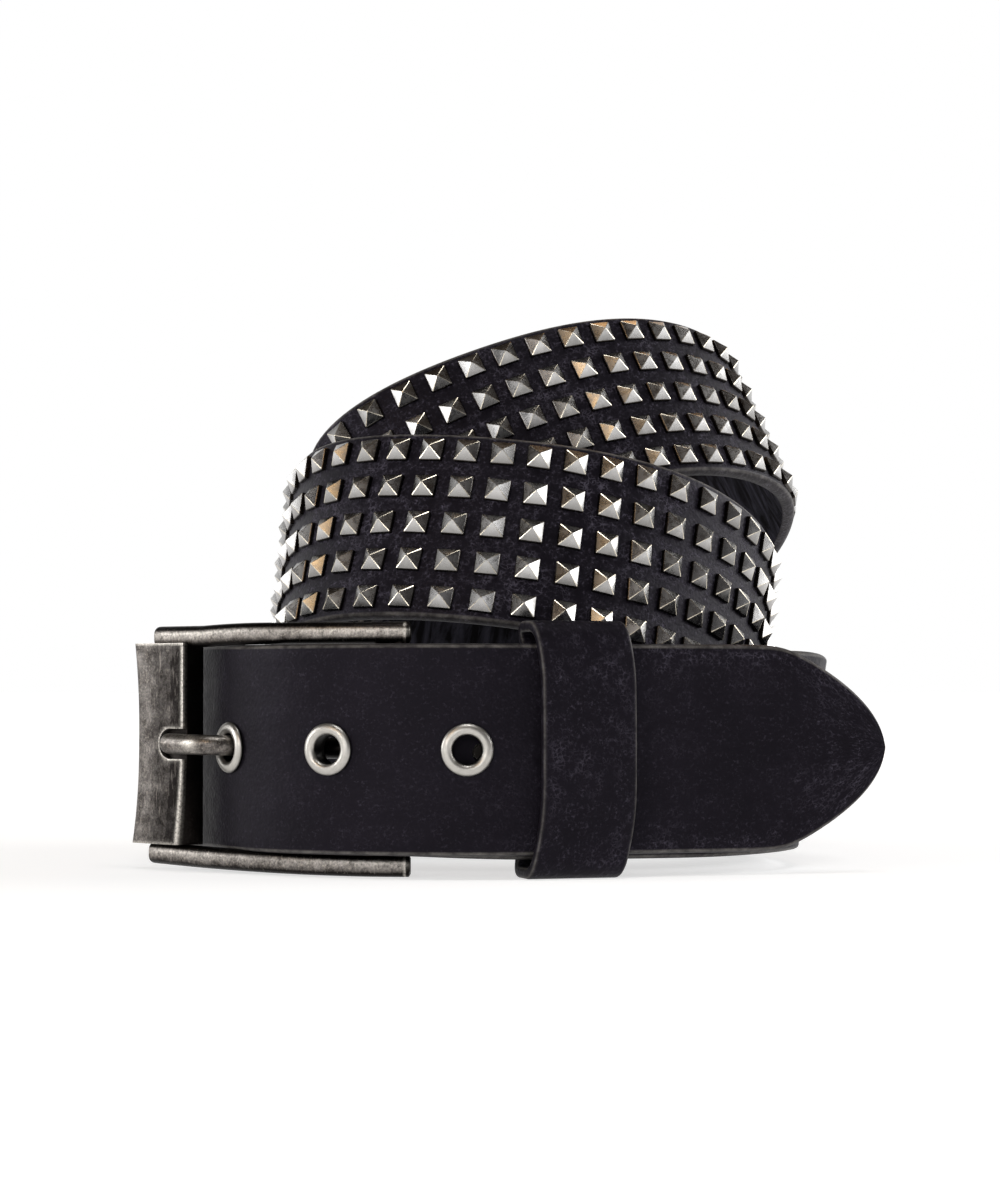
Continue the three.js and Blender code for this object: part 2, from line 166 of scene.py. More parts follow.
# The strap's middle line, from its turned-back end round the heel bar to the tongue's point:
# x, y and z in mm, then the lean of its width to the right and back, in degrees.
STATIONS = np.array([
    (1, 10, 23.6, 0, 0), (-9, 10.4, 24, 0, 0),  # turned-back end
    (-19, 12.9, 24.2, 0, 0), (-21.6, 11.9, 24.2, 0, 0), (-22.65, 9.3, 24.2, 0, 0),
    (-21.6, 6.7, 24.2, 0, 0), (-19, 5.7, 24.2, 0, 0), (-10, 5.4, 23.9, 0, 0),  # round the heel bar
    (7, 7.5, 23.4, 0, 0), (24, 12.5, 23.3, 0, 0), (40, 18, 23.3, 0, 0),  # behind the tongue
    (59.2, 38, 23.4, 6, 0), (62.4, 64, 22.2, 11, 4), (49, 100, 20.6, 9, 6),  # lowest loop
    (10, 120, 27, 10, 12), (-34, 106, 42, 9, 18), (-44, 70, 60, 5, 20),
    (-32, 36.3, 67.5, 5, 22), (5, 21.8, 66, 11, 22), (40, 37, 57.5, 12, 21),  # middle loop's front
    (54, 68, 44, 8, 18), (39, 100.5, 36, 8, 20), (0, 111, 43, -4, 14),
    (-31, 94, 58, -12, 6), (-30, 75, 72, -21, 13),
    (2, 68, 90.5, -25, 20), (36, 82, 99, -25, 20), (57, 110, 94, -23, 18),  # upper loop's front
    (47, 144, 74, -18, 14), (5, 158, 50, -12, 6), (-43, 136, 29.5, -5, 0),
    (-65.5, 92, 20.6, 0, 0), (-64.5, 54, 22.4, 0, 0),  # down to the buckle
    (-57.2, 33.5, 24.4, 0, 0), (-51.3, 22.6, 24.4, 0, 0), (-32.7, 7, 24.4, 0, 0),
    (-5.8, 1.5, 24.4, 0, 0), (16, 6.3, 24.4, 0, 0), (48.3, 16.5, 24.4, 0, 0),
    (74.8, 23.5, 24.4, 0, 0),  # tongue's point
], float)
FRAME_ORIGIN = np.array([0.7925, 81.1396, -0.0031])  # the frame's origin in the stations' mm
WIDTH, THICK, EDGE_ROUND = 40.0, 3.0, 0.95
TIP_LENGTH, SHOULDER, TONGUE = 21.0, 24.0, 75.0  # the arch, its shoulder, the free end
STUDDED = (215.0, 935.0)  # along the strap, past both ends of the studs
EYELETS, EYELET_HOLE = 5, 3.6
RIVET_AT, RIVET_HOLE = 4.5, 1.8
SLOT_LOW, SLOT_HIGH = 21.2, 27.6  # heights of the slot


def metres(points):
    """Places in the stations' mm as places in the frame."""
    return (np.asarray(points, float) - FRAME_ORIGIN) / 1000


def unit(vectors):
    return vectors / np.linalg.norm(vectors, axis=-1, keepdims=True)


def distances(points):
    """How far each point of a line lies along it, from its first one."""
    return np.concatenate([[0], np.cumsum(np.linalg.norm(np.diff(points, axis=0), axis=1))])


def smooth_line(stations, chord, fine):
    """A natural cubic spline through stations that lie at chord, read at the distances in fine."""
    step = np.diff(chord)
    system, bend = np.eye(len(chord)), np.zeros_like(stations)
    for i in range(1, len(chord) - 1):
        system[i, i - 1:i + 2] = step[i - 1], 2 * (step[i - 1] + step[i]), step[i]
        bend[i] = 6 * ((stations[i + 1] - stations[i]) / step[i]
                       - (stations[i] - stations[i - 1]) / step[i - 1])
    bend = np.linalg.solve(system, bend)
    seg = np.clip(np.searchsorted(chord, fine, side="right") - 1, 0, len(chord) - 2)
    after = ((fine - chord[seg]) / step[seg])[:, None]
    before = 1 - after
    return (before * stations[seg] + after * stations[seg + 1]
            + ((before ** 3 - before) * bend[seg] + (after ** 3 - after) * bend[seg + 1])
            * step[seg][:, None] ** 2 / 6)


chord = distances(STATIONS[:, :3])
fine_rows = smooth_line(STATIONS, chord, np.linspace(0, chord[-1], int(chord[-1] / 0.25) + 1))
fine_length = distances(fine_rows[:, :3])
LENGTH = fine_length[-1]


def strap_row(s):
    return np.stack([np.interp(s, fine_length, fine_rows[:, k]) for k in range(5)], axis=-1)


def strap_frame(s):
    """Place, direction, width direction and outward normal of the middle line at distances s."""
    s = np.atleast_1d(np.asarray(s, float))
    row = strap_row(s)
    along = unit(strap_row(s + 0.5)[:, :3] - strap_row(s - 0.5)[:, :3])
    across = np.stack([np.tan(np.radians(row[:, 3])), np.tan(np.radians(row[:, 4])),
                       np.ones(len(s))], axis=-1)
    across = unit(across - np.sum(across * along, -1, keepdims=True) * along)
    return row[:, :3], along, across, np.cross(along, across)


def frame_at(s):
    """The same four for one distance."""
    return [rows[0] for rows in strap_frame(s)]


def on_strap(s, v, n):
    """Places at v across the strap and n out of it, in mm; v and n are one row for each s."""
    place, along, across, out = strap_frame(s)
    return place[:, None] + v[..., None] * across[:, None] + n[..., None] * out[:, None]


def half_width(s):
    """Half the strap's width: full, then the tongue's pointed arch with a soft shoulder."""
    arch = WIDTH / 2 * np.sqrt(np.clip((LENGTH - s) / TIP_LENGTH, 0.0009, None))
    return ((WIDTH / 2) ** -SHOULDER + arch ** -SHOULDER) ** (-1 / SHOULDER)


def skin(name, rings, loop=False, uv=None):
    """A closed mesh over rings of points in metres, capped at its ends or closed into a loop.
    uv gives the distance of each ring and of each point round a ring, with the last one twice."""
    count, points = rings.shape[:2]
    faces, corners = [], []
    for i in range(count if loop else count - 1):
        for j in range(points):
            square = [(i, j), (i + 1, j), (i + 1, j + 1), (i, j + 1)]
            faces.append([(a % count) * points + b % points for a, b in square])
            corners += square
    if not loop:
        faces += [list(range(points)), [(count - 1) * points + j for j in reversed(range(points))]]
    mesh = bpy.data.meshes.new(name)
    mesh.from_pydata(rings.reshape(-1, 3).tolist(), [], faces)
    if uv is not None:
        layer = mesh.uv_layers.new(name="surface")
        flat = [(uv[0][a], uv[1][b]) for a, b in corners]
        if not loop:
            flat += [(uv[0][0], uv[1][j]) for j in range(points)]
            flat += [(uv[0][-1], uv[1][j]) for j in reversed(range(points))]
        layer.data.foreach_set("uv", np.array(flat, np.float32).ravel())
    edit = bmesh.new()
    edit.from_mesh(mesh)
    bmesh.ops.recalc_face_normals(edit, faces=edit.faces)
    edit.to_mesh(mesh)
    edit.free()
    return mesh


def paint(mesh, name, values):
    """Stores one number for each point, which the material reads."""
    layer = mesh.attributes.new(name, "FLOAT", "POINT")
    layer.data.foreach_set("value", np.asarray(values, np.float32).ravel())


def points_of(mesh):
    places = np.zeros(len(mesh.vertices) * 3)
    mesh.vertices.foreach_get("co", places)
    return places.reshape(-1, 3)


def bar(radius, low, high, axis, sides=32, place=(0, 0, 0)):
    """Rings of a round bar along an axis, in mm, as places for skin()."""
    axis = Vector(axis).normalized()
    side = Vector(axis.orthogonal()).normalized()
    other = axis.cross(side)
    turn = [2 * math.pi * k / sides for k in range(sides)]
    return np.array([[Vector(place) + axis * h + side * (radius * math.cos(a))
                      + other * (radius * math.sin(a)) for a in turn] for h in (low, high)])


def settled(worked_on):
    """The plain mesh that an object's modifiers make. The object itself goes."""
    bpy.context.view_layer.update()
    depsgraph = bpy.context.evaluated_depsgraph_get()
    mesh = bpy.data.meshes.new_from_object(worked_on.evaluated_get(depsgraph))
    bpy.data.objects.remove(worked_on)
    return mesh


def cut(mesh, cutters):
    """The mesh with the closed shapes in cutters taken out of it."""
    body = put("body", mesh)
    tools = [put(f"cutter_{k}", cutter) for k, cutter in enumerate(cutters)]
    for k, tool in enumerate(tools):
        change = body.modifiers.new(f"cut_{k}", "BOOLEAN")
        change.operation, change.solver, change.object = "DIFFERENCE", "EXACT", tool
    mesh = settled(body)
    for tool in tools:
        bpy.data.objects.remove(tool)
    return mesh


def add_piece(name, mesh, material, replaced, crease=40):
    """Puts a finished mesh in the scene as a piece of the belt, smooth up to the crease angle."""
    mesh.materials.clear()
    mesh.materials.append(material)
    mesh.shade_smooth()
    mesh.set_sharp_from_angle(angle=math.radians(crease))
    piece = put(name, mesh)
    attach(piece, "root")
    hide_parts(*replaced)


# Pigmented cowhide: a nearly black, faintly purple coat with a soft shine, fine pebbled grain and
# short creases where it is worked. The creases and the shining grain tips are painted lighter, as
# painted highlight, and the thin grey line along the edges is partly wear and partly painted
# highlight. Its inner side is bare and dull, its wrinkles painted lighter and darker as painted
# light and shade.
black_leather, tree, shader = new_material("pigmented_black_cowhide")
surface = add_node(tree, "ShaderNodeUVMap", uv_map="surface").outputs["UV"]
edge, flesh, worked = (add_node(tree, "ShaderNodeAttribute", attribute_name=word).outputs["Fac"]
                       for word in ("edge", "flesh", "worked"))
cloud = add_node(tree, "ShaderNodeTexNoise", {  # uneven dye, patches of 15 mm
    "Vector": surface, "Scale": 1 / 0.015, "Detail": 4.0, "Roughness": 0.6}).outputs["Fac"]
mottle = add_node(tree, "ShaderNodeTexNoise", {  # rub marks of 2.5 mm
    "Vector": surface, "Scale": 1 / 0.0025, "Detail": 5.0, "Roughness": 0.65}).outputs["Fac"]
warp = add_node(tree, "ShaderNodeTexNoise", {
    "Vector": surface, "Scale": 1 / 0.0012, "Detail": 4.0})
warped = add_node(tree, "ShaderNodeVectorMath", {
    0: warp.outputs["Color"], 1: (0.0016, 0.0016, 0), 2: surface},
    operation="MULTIPLY_ADD").outputs[0]
creases = add_node(tree, "ShaderNodeTexVoronoi", {  # fine creases 1 mm apart
    "Vector": warped, "Scale": 1 / 0.001}, feature="DISTANCE_TO_EDGE").outputs["Distance"]
crease_line = add_node(tree, "ShaderNodeMapRange", {
    "Value": creases, "From Max": 0.12, "To Min": 1.0, "To Max": 0.0}).outputs[0]
crease_place = add_node(tree, "ShaderNodeMapRange", {
    "Value": cloud, "From Min": 0.46, "From Max": 0.62, "To Min": 0.1, "To Max": 0.8}).outputs[0]
crease_place = add_node(tree, "ShaderNodeMath", {
    0: crease_place, 1: worked}, operation="MULTIPLY").outputs[0]
crease = add_node(tree, "ShaderNodeMath", {
    0: crease_line, 1: crease_place}, operation="MULTIPLY").outputs[0]
broken = add_node(tree, "ShaderNodeMapRange", {
    "Value": mottle, "From Min": 0.42, "From Max": 0.6}).outputs[0]
crease = add_node(tree, "ShaderNodeMath", {0: crease, 1: broken}, operation="MULTIPLY").outputs[0]
# The real grain is about 0.3 mm across; it is drawn 0.6 mm wide so that it shows.
grain = add_node(tree, "ShaderNodeTexVoronoi", {
    "Vector": surface, "Scale": 1 / 0.0006}, feature="SMOOTH_F1").outputs["Distance"]
dye_and_painted_light = add_node(tree, "ShaderNodeMix", {
    0: cloud, 6: linear("#0d0c0f"), 7: linear("#1a171e")}, data_type="RGBA").outputs[2]
# Painted highlight: the creases are drawn lighter where the leather is worked.
crease_sheen = add_node(tree, "ShaderNodeMath", {0: crease, 1: 0.75}, operation="MULTIPLY").outputs[0]
dye_and_painted_light = add_node(tree, "ShaderNodeMix", {
    0: crease_sheen, 6: dye_and_painted_light, 7: linear("#625e6b")}, data_type="RGBA").outputs[2]
glint_noise = add_node(tree, "ShaderNodeTexNoise", {  # painted highlight: grain tips that shine, 0.7 mm
    "Vector": surface, "Scale": 1 / 0.0007, "Detail": 3.0, "Roughness": 0.7}).outputs["Fac"]
grain_glint = add_node(tree, "ShaderNodeMapRange", {
    "Value": glint_noise, "From Min": 0.53, "From Max": 0.68, "To Max": 0.9}).outputs[0]
glint_place = add_node(tree, "ShaderNodeMapRange", {
    "Value": mottle, "From Min": 0.42, "From Max": 0.62}).outputs[0]
grain_glint = add_node(tree, "ShaderNodeMath", {
    0: grain_glint, 1: glint_place}, operation="MULTIPLY").outputs[0]
glint_share = add_node(tree, "ShaderNodeMapRange", {"Value": worked, "To Min": 0.2}).outputs[0]
grain_glint = add_node(tree, "ShaderNodeMath", {
    0: grain_glint, 1: glint_share}, operation="MULTIPLY").outputs[0]
dye_and_painted_light = add_node(tree, "ShaderNodeMix", {
    0: grain_glint, 6: dye_and_painted_light, 7: linear("#524e5b")}, data_type="RGBA").outputs[2]
# The edge line, painted lighter partly as wear and partly as painted highlight.
edge_wear_and_sheen = add_node(tree, "ShaderNodeMapRange", {
    "Value": mottle, "From Min": 0.35, "From Max": 0.7, "To Min": 0.25}).outputs[0]
edge_wear_and_sheen = add_node(tree, "ShaderNodeMath", {0: edge_wear_and_sheen, 1: edge}, operation="MULTIPLY").outputs[0]
dye_and_painted_light = add_node(tree, "ShaderNodeMix", {
    0: edge_wear_and_sheen, 6: dye_and_painted_light, 7: linear("#787570")}, data_type="RGBA").outputs[2]
stretched = add_node(tree, "ShaderNodeMapping", {0: surface, 3: (1.0, 0.22, 1.0)}).outputs[0]
wrinkles = add_node(tree, "ShaderNodeTexNoise", {  # across the inner side, 3 mm
    "Vector": stretched, "Scale": 1 / 0.003, "Detail": 4.0, "Roughness": 0.6,
    "Distortion": 0.8}).outputs["Fac"]
# Painted light and shade: the inner side's wrinkles are drawn lighter and darker.
fold_light_and_shade = add_node(tree, "ShaderNodeMapRange", {
    "Value": wrinkles, "From Min": 0.42, "From Max": 0.64}).outputs[0]
split_side = add_node(tree, "ShaderNodeMix", {
    0: fold_light_and_shade, 6: linear("#121112"), 7: linear("#393840")}, data_type="RGBA").outputs[2]
dye_and_painted_light = add_node(tree, "ShaderNodeMix", {
    0: flesh, 6: dye_and_painted_light, 7: split_side}, data_type="RGBA").outputs[2]
tree.links.new(dye_and_painted_light, shader.inputs["Base Color"])
shine = add_node(tree, "ShaderNodeMapRange", {
    "Value": mottle, "From Min": 0.3, "From Max": 0.7, "To Min": 0.40, "To Max": 0.54}).outputs[0]
shine = add_node(tree, "ShaderNodeMix", {0: flesh, 2: shine, 3: 0.85}).outputs[0]
tree.links.new(shine, shader.inputs["Roughness"])
gloss = add_node(tree, "ShaderNodeMapRange", {
    "Value": flesh, "To Min": 0.1, "To Max": 0.06}).outputs[0]
tree.links.new(gloss, shader.inputs["Specular IOR Level"])
shader.inputs["Specular Tint"].default_value = linear("#dcd3ea")
relief = add_node(tree, "ShaderNodeBump", {
    "Height": grain, "Strength": 0.5, "Distance": 0.00012}).outputs[0]
relief = add_node(tree, "ShaderNodeBump", {
    "Height": crease, "Strength": 0.6, "Distance": 0.00015, "Normal": relief},
    invert=True).outputs[0]
relief = add_node(tree, "ShaderNodeBump", {
    "Height": cloud, "Strength": 0.35, "Distance": 0.0012, "Normal": relief}).outputs[0]
folds = add_node(tree, "ShaderNodeMath", {0: wrinkles, 1: flesh}, operation="MULTIPLY").outputs[0]
relief = add_node(tree, "ShaderNodeBump", {
    "Height": folds, "Strength": 0.6, "Distance": 0.0012, "Normal": relief}).outputs[0]
tree.links.new(relief, shader.inputs["Normal"])

# Section of the strap: outer face, round edge, inner face, round edge.
FACE_STEPS, ROUND_STEPS = 14, 5


def edge_wear_and_sheen_at(angle):
    """How light the edge is painted, partly as wear and partly as painted highlight: most just past
    the outer face, and a little next to the inner one.
    """
    return (0.2 + 0.7 * math.exp(-((angle - 0.5) / 0.25) ** 2)
            + 0.1 * math.exp(-((angle - 2.6) / 0.3) ** 2))


rounding = np.linspace(0, math.pi, 2 * ROUND_STEPS + 1)[1:-1]
lines = np.concatenate([np.arange(1.0, LENGTH - TIP_LENGTH - 3, 1.6),
                        LENGTH - 0.02 - (TIP_LENGTH + 2) * np.linspace(1, 0, 34) ** 1.8])
half = half_width(lines)
edge_round = np.minimum(EDGE_ROUND, 0.6 * half)
v_places, n_places, round_share = [], [], []
for share in np.linspace(-1, 1, FACE_STEPS + 1):
    v_places.append(share * (half - edge_round))
    n_places.append(np.full(len(lines), THICK / 2))
    round_share.append(0.0)
for angle in rounding:
    v_places.append(half - edge_round + edge_round * np.sin(angle))
    n_places.append(np.full(len(lines), THICK / 2 * math.cos(angle)))
    round_share.append(edge_wear_and_sheen_at(angle))
for share in np.linspace(1, -1, FACE_STEPS + 1):
    v_places.append(share * (half - edge_round))
    n_places.append(np.full(len(lines), -THICK / 2))
    round_share.append(0.0)
for angle in rounding:
    v_places.append(-(half - edge_round + edge_round * np.sin(angle)))
    n_places.append(np.full(len(lines), -THICK / 2 * math.cos(angle)))
    round_share.append(edge_wear_and_sheen_at(math.pi - angle))
v_places, n_places = np.stack(v_places, -1), np.stack(n_places, -1)
middle = len(lines) // 2
girth = np.hypot(np.diff(v_places[middle], append=v_places[middle, 0]),
                 np.diff(n_places[middle], append=n_places[middle, 0]))
girth = np.concatenate([[0], np.cumsum(girth)]) / 1000
strap_mesh = skin("strap", metres(on_strap(lines, v_places, n_places)), uv=(lines / 1000, girth))
flesh_side = np.broadcast_to(n_places < -THICK / 2 + 0.01, v_places.shape).astype(float)
edges = np.broadcast_to(round_share, v_places.shape)
# Worked soft where the studs are set and along the tongue's edges, hardly on its flat middle.
studded = (lines > STUDDED[0]) & (lines < STUDDED[1])
near_edge = np.clip((np.abs(v_places) / half[:, None] - 0.6) / 0.4, 0, 1)
near_tip = np.clip((lines - LENGTH + 24) / 20, 0, 1)[:, None]
worked_part = np.where(studded, 1.0, 0.12)[:, None] + np.zeros(v_places.shape)
worked_part = np.maximum(worked_part, 0.8 * near_edge * (lines > LENGTH - TONGUE)[:, None])
worked_part = np.maximum(worked_part, 0.8 * near_tip)

eyelet_at = LENGTH - np.array([189.0, 162.5, 136.0, 110.5, 84.1])
holes = []
for s in eyelet_at:
    place, along, across, out = frame_at(s)
    holes.append(skin("hole", metres(bar(EYELET_HOLE, -3, 3, out, place=place))))
place, along, across, out = frame_at(RIVET_AT)
holes.append(skin("hole", metres(bar(RIVET_HOLE, -3, 9, -out, place=place))))
slot_ring = [(-24.9, 7.4), (-22.4, 5.7), (-19.6, 4.4), (-13.0, 4.0), (-13.0, 17.3), (-24.9, 17.3)]
holes.append(skin("prong_slot", metres([[(x, y, z) for x, y in slot_ring]
                                        for z in (SLOT_LOW, SLOT_HIGH)])))
lookup = kdtree.KDTree(len(strap_mesh.vertices))
for k, point in enumerate(points_of(strap_mesh)):
    lookup.insert(point, k)
lookup.balance()
strap_mesh = cut(strap_mesh, holes)
nearest = [lookup.find(point)[1] for point in points_of(strap_mesh)]
paint(strap_mesh, "edge", edges.ravel()[nearest])
paint(strap_mesh, "flesh", flesh_side.ravel()[nearest])
paint(strap_mesh, "worked", worked_part.ravel()[nearest])
add_piece("strap_leather", strap_mesh, black_leather, ["strap"])


# ---------------------------------------------------------------- studs
# 480 pyramid studs, 4.7 mm square and 2.3 mm high, cast in zinc and plated in antique nickel.
# Prongs behind the leather hold them, so each sits a little turned and tilted.

STUD_HEIGHT, STUD_PITCH, FIRST_STUD, COLUMNS = 2.3, 7.37, 227.0, 96
ROWS, ROW_PITCH = 5, 8.0


def set_in_strap(name, shape, places, outward, along, material, turn=0.0, tilt=0.0, seed=0):
    """Sets a shape at each place, its z outwards and its x along the strap, as one plain mesh."""
    tree = bpy.data.node_groups.new(f"set_{name}", "GeometryNodeTree")
    sockets = {"Places": "NodeSocketGeometry", "Shape": "NodeSocketObject",
               "Turn": "NodeSocketFloat", "Tilt": "NodeSocketFloat", "Seed": "NodeSocketInt",
               "Finish": "NodeSocketMaterial"}
    made = {label: tree.interface.new_socket(label, in_out="INPUT", socket_type=kind)
            for label, kind in sockets.items()}
    tree.interface.new_socket("Geometry", in_out="OUTPUT", socket_type="NodeSocketGeometry")
    given = add_node(tree, "NodeGroupInput").outputs
    axes = [add_node(tree, "GeometryNodeInputNamedAttribute", {"Name": word},
                     data_type="FLOAT_VECTOR").outputs[0] for word in ("outward", "along")]
    facing = add_node(tree, "FunctionNodeAxesToRotation", {0: axes[0], 1: axes[1]},
                      primary_axis="Z", secondary_axis="X").outputs[0]
    most = add_node(tree, "ShaderNodeCombineXYZ", {
        0: given["Tilt"], 1: given["Tilt"], 2: given["Turn"]}).outputs[0]
    least = add_node(tree, "ShaderNodeVectorMath", {0: most, 3: -1.0}, operation="SCALE").outputs[0]
    wobble = add_node(tree, "FunctionNodeRandomValue", {
        0: least, 1: most, "Seed": given["Seed"]}, data_type="FLOAT_VECTOR").outputs[0]
    facing = add_node(tree, "FunctionNodeRotateRotation", {
        0: facing, 1: add_node(tree, "FunctionNodeEulerToRotation", {0: wobble}).outputs[0]},
        rotation_space="LOCAL").outputs[0]
    one = add_node(tree, "GeometryNodeObjectInfo", {"Object": given["Shape"]}).outputs["Geometry"]
    each = add_node(tree, "GeometryNodeInstanceOnPoints", {
        "Points": given["Places"], "Instance": one, "Rotation": facing}).outputs[0]
    tone = add_node(tree, "FunctionNodeRandomValue", {"Seed": given["Seed"]}).outputs[1]
    each = add_node(tree, "GeometryNodeStoreNamedAttribute", {
        "Geometry": each, "Name": "tone", "Value": tone}, domain="INSTANCE").outputs[0]
    whole = add_node(tree, "GeometryNodeRealizeInstances", {0: each}).outputs[0]
    whole = add_node(tree, "GeometryNodeSetMaterial", {
        0: whole, "Material": given["Finish"]}).outputs[0]
    add_node(tree, "NodeGroupOutput", {0: whole})

    dots = bpy.data.meshes.new(name)
    dots.from_pydata(np.asarray(places).tolist(), [], [])
    for word, vectors in (("outward", outward), ("along", along)):
        layer = dots.attributes.new(word, "FLOAT_VECTOR", "POINT")
        layer.data.foreach_set("vector", np.ravel(vectors))
    holder, model = put(f"{name}_places", dots), put(f"{name}_model", shape)
    change = holder.modifiers.new("set_in_strap", "NODES")
    change.node_group = tree
    values = {"Shape": model, "Turn": turn, "Tilt": tilt, "Seed": seed, "Finish": material}
    for label, value in values.items():
        change[made[label].identifier] = value
    mesh = settled(holder)
    bpy.data.objects.remove(model)
    return mesh


# Antique nickel on cast zinc: smooth grey silver with streaks of patina and small differences of
# tone between studs. The ridges and the point are painted light and warm, partly as rubbed metal
# and partly as painted highlight; the upright walls are painted brown-black and the facets darker
# towards the base, as painted shade.
antique_nickel, tree, shader = new_material("antique_nickel_plated_zinc")
spot = add_node(tree, "ShaderNodeTexCoord").outputs["Object"]
rise, ridge, tone = (add_node(tree, "ShaderNodeAttribute", attribute_name=word).outputs["Fac"]
                     for word in ("rise", "ridge", "tone"))
streak = add_node(tree, "ShaderNodeTexNoise", {  # polishing and patina, 1 mm
    "Vector": spot, "Scale": 1 / 0.0015, "Detail": 4.0, "Roughness": 0.55}).outputs["Fac"]
# Painted shade: near black on the upright walls, and darker towards the base of the facets.
low = add_node(tree, "ShaderNodeMapRange", {
    "Value": rise, "From Min": 0.27, "From Max": 0.33, "To Min": 0.97, "To Max": 0.0}).outputs[0]
stud_patina_and_shade = add_node(tree, "ShaderNodeMapRange", {
    "Value": streak, "From Min": 0.5, "From Max": 0.8, "To Max": 0.15}).outputs[0]
base_shade = add_node(tree, "ShaderNodeMapRange", {
    "Value": rise, "From Min": 0.3, "From Max": 0.8, "To Min": 0.5, "To Max": 0.0}).outputs[0]
stud_patina_and_shade = add_node(tree, "ShaderNodeMath", {0: stud_patina_and_shade, 1: base_shade}, operation="ADD").outputs[0]
stud_patina_and_shade = add_node(tree, "ShaderNodeMath", {
    0: stud_patina_and_shade, 1: low}, operation="ADD", use_clamp=True).outputs[0]
nickel_and_painted_light = add_node(tree, "ShaderNodeMix", {
    0: tone, 6: linear("#cfcecd"), 7: linear("#a9a8a6")}, data_type="RGBA").outputs[2]
nickel_and_painted_light = add_node(tree, "ShaderNodeMix", {
    0: stud_patina_and_shade, 6: nickel_and_painted_light, 7: linear("#38332f")}, data_type="RGBA").outputs[2]
# The ridges painted light and warm, partly rubbed metal and partly painted highlight.
nickel_and_painted_light = add_node(tree, "ShaderNodeMix", {
    0: ridge, 6: nickel_and_painted_light, 7: linear("#dcd3c0")}, data_type="RGBA").outputs[2]
tree.links.new(nickel_and_painted_light, shader.inputs["Base Color"])
shader.inputs["Metallic"].default_value = 1.0
dull = add_node(tree, "ShaderNodeMapRange", {
    "Value": streak, "From Min": 0.3, "From Max": 0.7, "To Min": 0.2, "To Max": 0.34}).outputs[0]
tree.links.new(dull, shader.inputs["Roughness"])
relief = add_node(tree, "ShaderNodeBump", {
    "Height": streak, "Strength": 0.03, "Distance": 0.0001}).outputs[0]
tree.links.new(relief, shader.inputs["Normal"])

stud_rings, stud_rise = [], []
for half_side, corner, rise_mm in ((2.36, 0.16, -0.5), (2.36, 0.16, 0.6), (2.22, 0.14, 0.76),
                                   (1.19, 0.1, 1.5), (0.12, 0.04, 2.29)):
    a, b = half_side, half_side - corner
    stud_rings.append([(a, -b, rise_mm), (a, b, rise_mm), (b, a, rise_mm), (-b, a, rise_mm),
                       (-a, b, rise_mm), (-a, -b, rise_mm), (-b, -a, rise_mm), (b, -a, rise_mm)])
    stud_rise += [max(0.0, rise_mm / STUD_HEIGHT)] * 8
stud = skin("stud", np.array(stud_rings) / 1000)
paint(stud, "rise", stud_rise)
# The narrow faces between two large ones are the ridges, and so is the point; they are painted
# light as rubbed metal and painted highlight. Eight faces stand between each two rings, and the
# last two of the 34 are the bottom and the point.
narrow = [16 <= k < 32 and k % 2 == 1 or k == 33 for k in range(34)]
layer = stud.attributes.new("ridge", "FLOAT", "FACE")
layer.data.foreach_set("value", np.array(narrow, np.float32))

columns = np.repeat(FIRST_STUD + STUD_PITCH * np.arange(COLUMNS), ROWS)
rows = np.tile((np.arange(ROWS) - (ROWS - 1) / 2) * ROW_PITCH, COLUMNS)
place, along, across, out = strap_frame(columns)
stud_places = metres(place + rows[:, None] * across + THICK / 2 * out)
studs = set_in_strap("studs", stud, stud_places, out, along, antique_nickel,
                     turn=math.radians(2.0), tilt=math.radians(0.9), seed=7)
add_piece("studs", studs, antique_nickel, ["strap"], crease=12)


# ---------------------------------------------------------------- eyelets
# Five round eyelets 10 mm across, pressed from nickel-plated brass sheet. Each has a domed
# flange on the outer side and a lip rolled over behind the leather.

# Satin nickel: pale warm grey with a fine satin brushing, painted near black inside the bore and on
# the lip behind the leather, as painted shade.
satin_nickel, tree, shader = new_material("satin_nickel_plated_brass")
spot = add_node(tree, "ShaderNodeTexCoord").outputs["Object"]
fine_wear = add_node(tree, "ShaderNodeTexNoise", {
    "Vector": spot, "Scale": 1 / 0.0012, "Detail": 5.0, "Roughness": 0.65}).outputs["Fac"]
depth = add_node(tree, "ShaderNodeAttribute", attribute_name="rise").outputs["Fac"]
nickel_and_bore_shade = add_node(tree, "ShaderNodeMix", {
    0: fine_wear, 6: linear("#cfccc6"), 7: linear("#aaa7a1")}, data_type="RGBA").outputs[2]
nickel_and_bore_shade = add_node(tree, "ShaderNodeMix", {
    0: depth, 6: linear("#1d1b19"), 7: nickel_and_bore_shade}, data_type="RGBA").outputs[2]
tree.links.new(nickel_and_bore_shade, shader.inputs["Base Color"])
shader.inputs["Metallic"].default_value = 1.0
dull = add_node(tree, "ShaderNodeMapRange", {
    "Value": fine_wear, "From Min": 0.3, "From Max": 0.7, "To Min": 0.34,
    "To Max": 0.46}).outputs[0]
tree.links.new(dull, shader.inputs["Roughness"])
relief = add_node(tree, "ShaderNodeBump", {
    "Height": fine_wear, "Strength": 0.12, "Distance": 0.0001}).outputs[0]
tree.links.new(relief, shader.inputs["Normal"])


def lathe(name, profile, sides=56):
    """A closed profile of radius and height in mm, turned round the z axis."""
    turn = np.linspace(0, 2 * math.pi, sides, endpoint=False)
    radius, rise_mm = np.array(profile).T
    rings = np.stack([np.outer(np.cos(turn), radius), np.outer(np.sin(turn), radius),
                      np.broadcast_to(rise_mm, (sides, len(profile)))], axis=-1)
    return skin(name, rings / 1000, loop=True)


